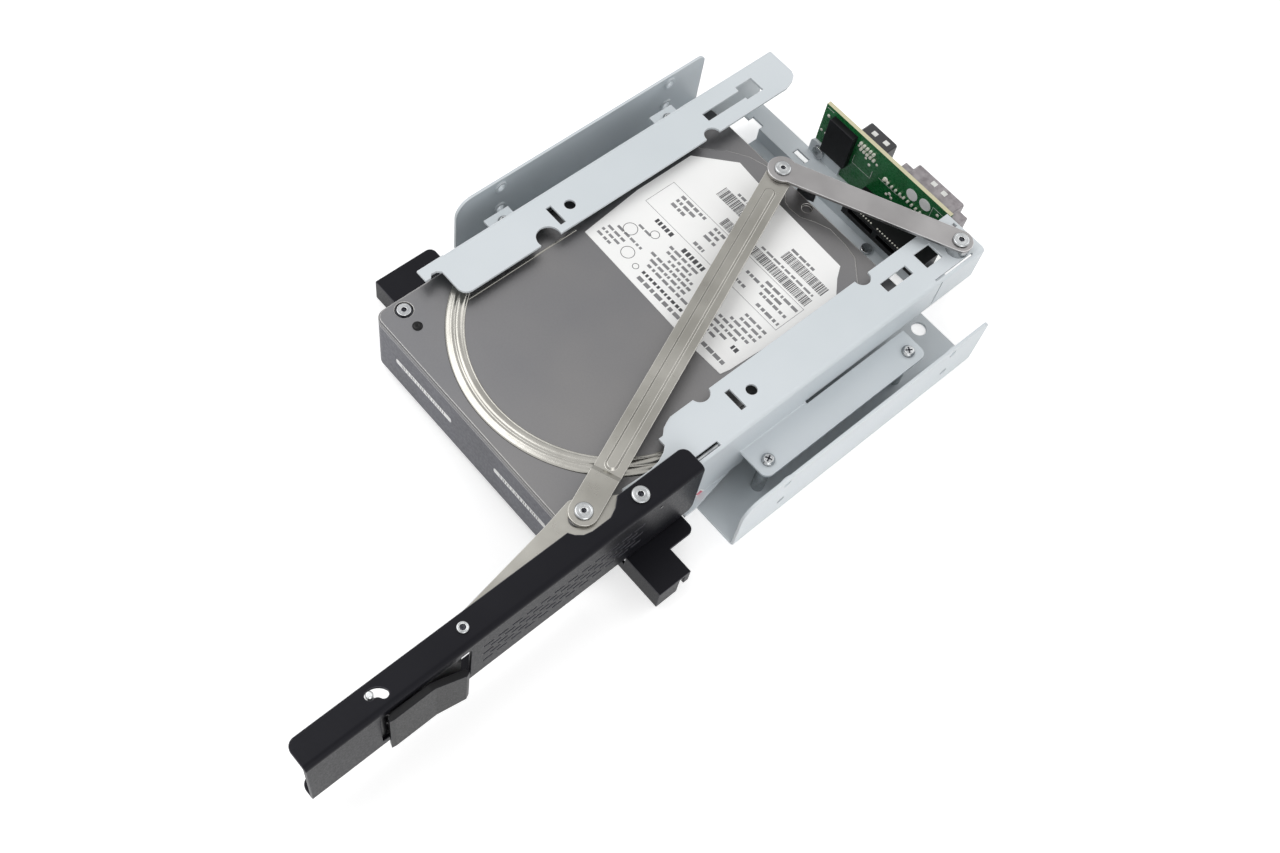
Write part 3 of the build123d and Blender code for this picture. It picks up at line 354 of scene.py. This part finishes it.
def slab(shape, x0, x1, y0, y1, z0, z1):
    """Adds a thin rectangular field between these limits in mm."""
    size = Matrix.Diagonal(((x1 - x0) / 1000, (y1 - y0) / 1000, (z1 - z0) / 1000, 1))
    middle = at((x0 + x1) / 2, (y0 + y1) / 2, (z0 + z1) / 2)
    bmesh.ops.create_cube(shape, size=1.0, matrix=Matrix.Translation(middle) @ size)


def soften(shape, edges, width, segments):
    """Rounds these edges over a width in mm."""
    bmesh.ops.bevel(shape, geom=edges, offset=width / 1000, segments=segments, profile=0.5,
                    affect="EDGES", material=-1, clamp_overlap=True)


shape = bmesh.new()
for x0, x1, y0, y1 in beads:
    slab(shape, x0, x1, y0, y1, bead_foot, bead_crest)
half_height = (bead_foot + bead_crest) / 2 / 1000
crest_edges = [e for e in shape.edges if min(v.co.z for v in e.verts) > half_height]
soften(shape, crest_edges, 0.2, 3)
make_piece("straight_beads", shape, "drive", bead_highlight)

# Front screws of the cover
# Two pan head screws sit in round recesses at the front corners. Their six lobed sockets and the
# gap around each head are in deep shade.
cover_screw_x = (-47.6, 45.2)
cover_screw_y = -7.55
socket_floor = 30.0
recess_floor = 29.6
socket_section = ((near_axis, 0.0), (0.88, 0.0), (0.88, 0.12), (near_axis, 0.1))
gap_section = ((2.36, 0.0), (3.04, 0.0), (3.04, 0.12), (2.36, 0.12))
shape = bmesh.new()
for x in cover_screw_x:
    lathe(shape, socket_section, (x, cover_screw_y, socket_floor), 24)
    lathe(shape, gap_section, (x, cover_screw_y, recess_floor), 36)
make_piece("cover_screw_shade", shape, "drive", recess_shade)

# Heads of the foot screws
# Four small zinc plated pan head screws hold the rails' feet on their standoffs. Each has a domed
# head with a cross recess, drawn as a dark cross of painted shade, and each came to rest at its
# own angle.
foot_screw_places = ((62.3, 54.2), (62.3, 121.0), (-60.8, 45.0), (-60.8, 121.5))
foot_top = 19.5
dome_section = (
    (near_axis, 0.3), (2.32, 0.3), (2.35, 0.7), (2.1, 1.1), (1.5, 1.42), (0.8, 1.54),
    (near_axis, 1.56))
recess_reach = 1.2
recess_half_width = 0.26
recess_low = foot_top + 1.0
recess_high = foot_top + 1.58
first_angle = 25
angle_step = 31
for number, (x, y) in enumerate(foot_screw_places):
    shape = bmesh.new()
    lathe(shape, dome_section, (x, y, foot_top), 32)
    make_piece("foot_screw_dome_" + str(number + 1), shape, "frame", zinc)
    shape = bmesh.new()
    for half_x, half_y in ((recess_reach, recess_half_width), (recess_half_width, recess_reach)):
        slab(shape, x - half_x, x + half_x, y - half_y, y + half_y, recess_low, recess_high)
    angle = Matrix.Rotation(math.radians(first_angle + angle_step * number), 3, "Z")
    bmesh.ops.rotate(shape, cent=at(x, y, 0), matrix=angle, verts=shape.verts)
    make_piece("foot_screw_recess_shade_" + str(number + 1), shape, "frame", recess_shade)

# Rubber plug in the cover
# A small black rubber plug is pressed into the servo hole beside the front screw. It is domed,
# with a soft shine.
plug_place = (-40.2, -7.8, 30.16)
plug_section = (
    (near_axis, 0.0), (1.7, 0.0), (1.7, 0.19), (1.45, 0.39), (0.9, 0.52), (near_axis, 0.56))
rubber = new_finish("black_plug_rubber", ("060607", "0a0a0b"), (0.3, 0.45), cloud=2.0, grain=0.4,
                    shine=0.25)
shape = bmesh.new()
lathe(shape, plug_section, plug_place, 28)
make_piece("servo_plug", shape, "drive", rubber)

# Drive base
# Die cast aluminium with a dark protective coating, faintly rough from the mould. The edges are
# painted paler, partly as wear through the coat and partly as a highlight.
cast = new_finish("dark_coated_casting", ("4c4d54", "56575f"), (0.36, 0.5), cloud=20.0, grain=0.9,
                  relief=0.02, strength=0.2, metallic=0.6, edge_wear_and_highlight="8c8d94", edge_radius=0.4)
wear("drive_base", finish=cast)

# Drive label and inspection dots
# White polyester films with a soft sheen. The label is stuck to the lid, and the two round dots
# to the backplane board.
film = new_finish("white_label_film", ("f7f7f6", "fbfbfa"), (0.4, 0.52), cloud=25.0, grain=1.2,
                  relief=0.005)
wear("drive_label", "inspection_dots", finish=film)

# Print on the drive label
# Rows of short dashes, a ruled box, bar fields and rings stand where a real label is printed. They
# are plain marks of the same size and grey as such print and spell nothing.
film_top = 30.9
ink_foot = film_top - 0.01
ink_top = film_top + 0.015
shortest_dash = 0.9
dash_gaps = (0.4, 0.8)
row_margin = 0.6
bar_widths = (0.14, 0.14, 0.28, 0.42)
bar_gaps = (0.14, 0.28)
rule = 0.16
box_left = -33.2
box_right = 32.0
box_front = 83.8
box_rear = 96.9
ruled_box = (
    (box_left, box_right, box_rear, box_rear + rule),
    (box_left, box_right, box_front, box_front + rule),
    (box_left, box_left + rule, box_front, box_rear),
    (box_right - rule, box_right, box_front, box_rear + rule))
fine_rows = (
    (-27.0, -15.0, 94.6, 1.3), (-27.0, -18.0, 92.2, 1.3), (-27.0, -20.5, 89.8, 1.3),
    (-10.4, -3.5, 94.6, 1.2), (-10.4, -5.8, 92.2, 1.2), (-10.4, -5.0, 89.8, 1.2),
    (-10.4, -5.6, 85.0, 1.4), (16.1, 31.1, 94.0, 1.2), (16.1, 27.0, 91.6, 1.2),
    (18.0, 31.1, 89.2, 1.2), (9.0, 15.0, 91.6, 1.2), (20.5, 31.0, 85.2, 1.3),
    (5.0, 14.0, 86.5, 1.2), (-14.0, 0.0, 77.4, 1.1), (-13.0, -1.0, 75.2, 1.1),
    (-10.0, 3.0, 73.0, 1.1), (-16.0, 4.0, 70.8, 1.1), (-14.0, 4.0, 68.6, 1.1),
    (-13.0, 8.0, 66.4, 1.1), (-31.0, -19.0, 68.9, 1.0), (-33.0, -24.0, 66.4, 1.0),
    (-33.5, -25.0, 64.2, 1.0), (-33.5, -27.0, 62.0, 1.0), (21.2, 31.1, 79.6, 1.1),
    (21.2, 31.1, 77.2, 1.1), (19.0, 31.1, 74.8, 1.1), (16.0, 30.0, 72.4, 1.1),
    (16.0, 27.0, 70.0, 1.1), (14.0, 25.0, 67.6, 1.1), (12.0, 22.0, 65.2, 1.1),
    (-8.0, -1.0, 103.0, 1.1), (5.0, 30.0, 102.7, 0.9), (-11.4, 10.5, 60.4, 1.5),
    (17.5, 30.8, 60.4, 1.5), (-16.0, -9.0, 111.2, 1.1), (12.0, 24.0, 110.3, 1.1),
    (-27.0, -20.0, 75.0, 0.9))
bar_fields = ((-20.6, -8.4, 105.4, 110.3), (-10.9, 31.1, 97.9, 101.8), (11.9, 31.5, 105.3, 109.5))
bold_rows = (
    (-25.0, -15.9, 80.6, 1.8), (-10.5, 0.0, 79.6, 2.0), (-12.0, 8.0, 63.2, 1.2),
    (27.5, 30.5, 67.0, 1.8))
longest_bold_dash = 1.5
ring_marks = ((-27.4, 71.9, 2.6), (-20.8, 64.9, 2.5), (-15.0, 63.3, 1.2), (-20.6, 77.0, 1.7))
ring_width = 0.22
chance = random.Random(11)


def inked(shape, x0, x1, y0, y1):
    """A field of ink on the label."""
    slab(shape, x0, x1, y0, y1, ink_foot, ink_top)


def dashes(shape, x0, x1, y, height, longest=3.2):
    """A row of word-like dashes."""
    x = x0
    while x < x1 - row_margin:
        end = min(x1, x + chance.uniform(shortest_dash, longest))
        inked(shape, x, end, y, y + height)
        x = end + chance.uniform(*dash_gaps)


def bars(shape, x0, x1, y0, y1):
    """A field of upright bars of uneven width."""
    x = x0
    while x < x1:
        width = chance.choice(bar_widths)
        inked(shape, x, min(x + width, x1), y0, y1)
        x += width + chance.choice(bar_gaps)


fine_ink = new_finish("grey_thermal_ink", ("7c7c7e", "8a8a8c"), (0.4, 0.5), cloud=4.0, grain=0.6)
black_ink = new_finish("black_thermal_ink", ("38383a", "46464a"), (0.4, 0.5), cloud=4.0, grain=0.6)
shape = bmesh.new()
for x0, x1, y0, y1 in ruled_box:
    inked(shape, x0, x1, y0, y1)
for x0, x1, y, height in fine_rows:
    dashes(shape, x0, x1, y, height)
make_piece("label_print_fine", shape, "drive", fine_ink)
shape = bmesh.new()
for x0, x1, y0, y1 in bar_fields:
    bars(shape, x0, x1, y0, y1)
for x0, x1, y, height in bold_rows:
    dashes(shape, x0, x1, y, height, longest_bold_dash)
make_piece("label_print_bold", shape, "drive", black_ink)
shape = bmesh.new()
for x, y, radius in ring_marks:
    inner = radius - ring_width
    mark_section = ((inner, ink_foot), (radius, ink_foot), (radius, ink_top), (inner, ink_top))
    lathe(shape, mark_section, (x, y, 0), 36, False)
make_piece("label_print_marks", shape, "drive", black_ink)

# Bar labels on the drive's front
# Two narrow white film strips with rounded corners are stuck along the front of the casting, each
# printed with fine bars in the label's grey ink.
drive_front = -16.35
strips = ((-40.4, -11.8), (9.8, 35.3))
strip_low = 16.2
strip_high = 18.6
strip_proud = 0.08
strip_sunk = 0.02
corner_radius = 0.9
bar_margin = 3.0
bar_width = 0.35
bar_inset = 0.4
bar_pitches = (0.8, 1.1, 1.5)
shape = bmesh.new()
for x0, x1 in strips:
    slab(shape, x0, x1, drive_front - strip_proud, drive_front + strip_sunk, strip_low, strip_high)
half_thickness = (strip_proud + strip_sunk) / 2 / 1000
corner_edges = [e for e in shape.edges
                if abs(e.verts[0].co.y - e.verts[1].co.y) > half_thickness]
soften(shape, corner_edges, corner_radius, 5)
make_piece("front_bar_labels", shape, "drive", film)
shape = bmesh.new()
for x0, x1 in strips:
    x = x0 + bar_margin
    while x < x1 - bar_margin:
        slab(shape, x, x + bar_width, drive_front - 0.1, drive_front - 0.07,
             strip_low + bar_inset, strip_high - bar_inset)
        x += chance.choice(bar_pitches)
make_piece("front_bar_print", shape, "drive", fine_ink)

# Backplane and drive circuit boards
# Glass fibre boards under a glossy green solder resist that drifts a little in tone. The upright
# board's sawn top edge shows the laminate's pale resin.
facing_up = 0.7
resist = new_finish("green_solder_resist", ("14612f", "196c38"), (0.22, 0.34), cloud=6.0,
                    grain=0.9, relief=0.01, strength=0.08)
tree = resist.node_tree
shader = tree.nodes["Principled BSDF"]
green = shader.inputs["Base Color"].links[0].from_socket
normal = add_node(tree, "ShaderNodeNewGeometry").outputs["Normal"]
upward = add_node(tree, "ShaderNodeSeparateXYZ", {}, {"Vector": normal}).outputs["Z"]
sawn = add_node(tree, "ShaderNodeMath", {"operation": "GREATER_THAN"}, {0: upward, 1: facing_up})
laminate = add_node(tree, "ShaderNodeMix", {"data_type": "RGBA"}, {
    "Factor": sawn.outputs["Value"], mix_first: green, mix_second: linear("cfc9a8")})
tree.links.new(laminate.outputs[mix_result], shader.inputs["Base Color"])
wear("backplane_board", "drive_board", finish=resist)

# Solder joints, contacts and legend
# Tinned joints stand on the board's face and along the receptacle, and the connectors hold gold
# flashed contacts. Thin white legend lines are printed on the solder resist.
board_face = 163.5
joints = (
    (-22.3, 29.5, 0.75), (-23.4, 20.8, 0.6), (-21.3, 20.7, 0.6), (-6.6, 28.6, 0.55),
    (-5.2, 29.4, 0.5), (-2.1, 26.1, 0.6), (0.1, 24.4, 0.65), (3.0, 27.4, 0.6),
    (8.5, 24.7, 1.15), (12.1, 20.2, 0.75), (13.3, 19.0, 0.7), (10.9, 18.8, 0.65),
    (16.6, 23.4, 0.6), (32.4, 29.6, 0.7), (34.0, 27.0, 0.6))
joint_flatness = 0.45
receptacle_top = 14.0
tail_rows = ((7.3, 7), (18.2, 13))
tail_pitch = 1.27
tail_y = 153.2
tail_radius = 0.36
legend_lines = (
    (-6.9, 2.4, 18.9, 19.05), (-6.9, -6.75, 18.9, 23.2), (2.25, 2.4, 18.9, 23.2),
    (5.5, 15.0, 22.6, 22.75), (-24.0, -20.6, 32.7, 32.85), (29.6, 35.4, 31.3, 31.45),
    (29.6, 35.4, 25.2, 25.35), (29.6, 29.75, 25.2, 31.3), (35.25, 35.4, 25.2, 31.3))
solder = new_finish("tinned_solder", ("efecdf", "f8f6ec"), (0.25, 0.4), cloud=1.5, grain=0.5,
                    metallic=0.2)
wear("solder_pins", finish=solder)
gold = new_finish("gold_flashed_contact", ("c3a04f", "cfae62"), (0.22, 0.36), cloud=2.0,
                  grain=0.6, metallic=1.0)
wear("receptacle_contacts", "drive_plug", "power_pins", finish=gold)


def solder_bead(shape, place, radius, around, upright, flatness=1.0):
    """Adds a round joint of a radius in mm, flattened from front to back."""
    made = bmesh.ops.create_uvsphere(shape, u_segments=around, v_segments=upright,
                                     radius=radius / 1000)
    bmesh.ops.scale(shape, vec=(1, flatness, 1), verts=made["verts"])
    bmesh.ops.translate(shape, vec=place, verts=made["verts"])


shape = bmesh.new()
for x, z, radius in joints:
    solder_bead(shape, at(x, board_face, z), radius, 14, 8, joint_flatness)
shade_smooth(shape)
make_piece("solder_dots", shape, "frame", solder)
shape = bmesh.new()
for first_x, count in tail_rows:
    for i in range(count):
        place = at(first_x + i * tail_pitch, tail_y, receptacle_top)
        solder_bead(shape, place, tail_radius, 10, 6)
shade_smooth(shape)
make_piece("contact_tails", shape, "frame", solder)
silk = new_finish("white_legend_ink", ("dfe3dc", "e8ebe5"), (0.45, 0.55), cloud=2.0, grain=0.5)
shape = bmesh.new()
for x0, x1, z0, z1 in legend_lines:
    slab(shape, x0, x1, board_face - 0.03, board_face + 0.02, z0, z1)
make_piece("board_legend", shape, "frame", silk)

# Connectors behind the board
# A dark data socket and a warm grey power socket, moulded in filled nylon. Their edges are painted
# paler as a highlight. Each has two pale latch tongues in its top, which stand a little proud.
tongues = ((-6.5, 171.6, 29.4), (-1.0, 171.9, 29.4), (22.3, 172.6, 29.8), (27.4, 172.4, 29.8))
tongue_half_width = 1.1
tongue_half_depth = 1.0
tongue_sunk = 0.3
tongue_proud = 0.12
dark_mould = new_finish("dark_filled_nylon", ("29292c", "313135"), (0.36, 0.5), cloud=6.0,
                        grain=0.6, relief=0.015, strength=0.15, edge_wear_and_highlight="55555a", edge_radius=0.3)
wear("data_connector", finish=dark_mould)
grey_mould = new_finish("warm_grey_filled_nylon", ("7b7578", "a19b9e"), (0.36, 0.5), cloud=3.0,
                        grain=0.7, relief=0.02, strength=0.2, edge_wear_and_highlight="b4afb1", edge_radius=0.3)
wear("power_connector", finish=grey_mould)
pale_nylon = new_finish("natural_nylon", ("d9d9d6", "e6e6e3"), (0.35, 0.5), cloud=3.0, grain=0.6)
shape = bmesh.new()
for x, y, top in tongues:
    slab(shape, x - tongue_half_width, x + tongue_half_width, y - tongue_half_depth,
         y + tongue_half_depth, top - tongue_sunk, top + tongue_proud)
soften(shape, shape.edges[:], 0.12, 2)
make_piece("latch_tongues", shape, "frame", pale_nylon)

# Light guide of the door
# A short rod of dark smoked plastic in the door's small light hole, with its polished end just
# proud of the door's face.
smoked = new_finish("smoked_light_guide", ("141416", "1c1c20"), (0.1, 0.2), cloud=2.0, grain=0.6)
wear("light_pipe", finish=smoked)

# Inspection mark on the right rail
# A small pink film with a white border, stuck askew low on the rail's web. The pink film lies
# proud of the white one.
mark_place = (54.3, 33.4, 9.0)
mark_lean = math.radians(-58)
pink_film = new_finish("pink_film", ("d46a7c", "dd7989"), (0.4, 0.5), cloud=3.0, grain=0.8)
for name, half_y, half_z, depth, finish in (
        ("rail_mark_border", 2.1, 1.5, 0.06, film),
        ("rail_mark", 1.6, 1.0, 0.09, pink_film)):
    shape = bmesh.new()
    slab(shape, -depth, depth, origin_depth - half_y, origin_depth + half_y, -half_z, half_z)
    lean = Matrix.Rotation(mark_lean, 3, "X")
    bmesh.ops.rotate(shape, cent=(0, 0, 0), matrix=lean, verts=shape.verts)
    bmesh.ops.translate(shape, vec=at(*mark_place), verts=shape.verts)
    make_piece(name, shape, "frame", finish)

# Floor and light
# A white table top that shows white to the camera and in metal and keeps the soft shadow of the
# rack, under three large soft lamps in a pale room.
table_reach = 3.0
table_glow = 0.5
room_light = 0.55
room_seen = 1.0
lamp_target = Vector((0, 0, 0.02))
lamps = (
    ("soft_key", (-0.6, -0.3, 1.1), 0.9, 5.6),
    ("soft_fill", (1.0, -0.5, 0.55), 0.8, 4.2),
    ("soft_back", (0.2, 1.0, 0.9), 0.8, 2.2))


def shown_to_camera(tree):
    """One for the rays that should meet plain white surroundings, and nought for the others."""
    rays = add_node(tree, "ShaderNodeLightPath").outputs
    first = add_node(tree, "ShaderNodeMath", {"operation": "MAXIMUM"}, {
        0: rays["Is Camera Ray"], 1: rays["Is Glossy Ray"]})
    both = add_node(tree, "ShaderNodeMath", {"operation": "MAXIMUM"}, {
        0: first.outputs["Value"], 1: rays["Is Transmission Ray"]})
    return both.outputs["Value"]


floor_mesh = bpy.data.meshes.new("floor")
shape = bmesh.new()
bmesh.ops.create_grid(shape, x_segments=1, y_segments=1, size=table_reach)
shape.to_mesh(floor_mesh)
shape.free()
floor = bpy.data.objects.new("floor", floor_mesh)
bpy.context.collection.objects.link(floor)
white_table = bpy.data.materials.new("white_table")
white_table.use_nodes = True
tree = white_table.node_tree
shader = tree.nodes["Principled BSDF"]
shader.inputs["Base Color"].default_value = linear("e8e8e8")
shader.inputs["Roughness"].default_value = 0.7
lift = add_node(tree, "ShaderNodeMath", {"operation": "MULTIPLY"}, {
    0: shown_to_camera(tree), 1: table_glow})
glow = add_node(tree, "ShaderNodeEmission", {}, {"Strength": lift.outputs["Value"]})
total = add_node(tree, "ShaderNodeAddShader", {}, {
    0: shader.outputs["BSDF"], 1: glow.outputs["Emission"]})
tree.links.new(total.outputs["Shader"], tree.nodes["Material Output"].inputs["Surface"])
floor_mesh.materials.append(white_table)
world = bpy.data.worlds.new("pale_room")
world.use_nodes = True
bpy.context.scene.world = world
tree = world.node_tree
sky = tree.nodes["Background"]
sky.inputs["Color"].default_value = linear("ffffff")
level = add_node(tree, "ShaderNodeMapRange", {}, {
    "Value": shown_to_camera(tree), "To Min": room_light, "To Max": room_seen})
tree.links.new(level.outputs["Result"], sky.inputs["Strength"])
for name, spot, size, power in lamps:
    lamp_data = bpy.data.lights.new(name, "AREA")
    lamp_data.size = size
    lamp_data.energy = power
    lamp = bpy.data.objects.new(name, lamp_data)
    lamp.location = spot
    lamp.rotation_euler = (lamp_target - Vector(spot)).to_track_quat("-Z", "Y").to_euler()
    bpy.context.collection.objects.link(lamp)
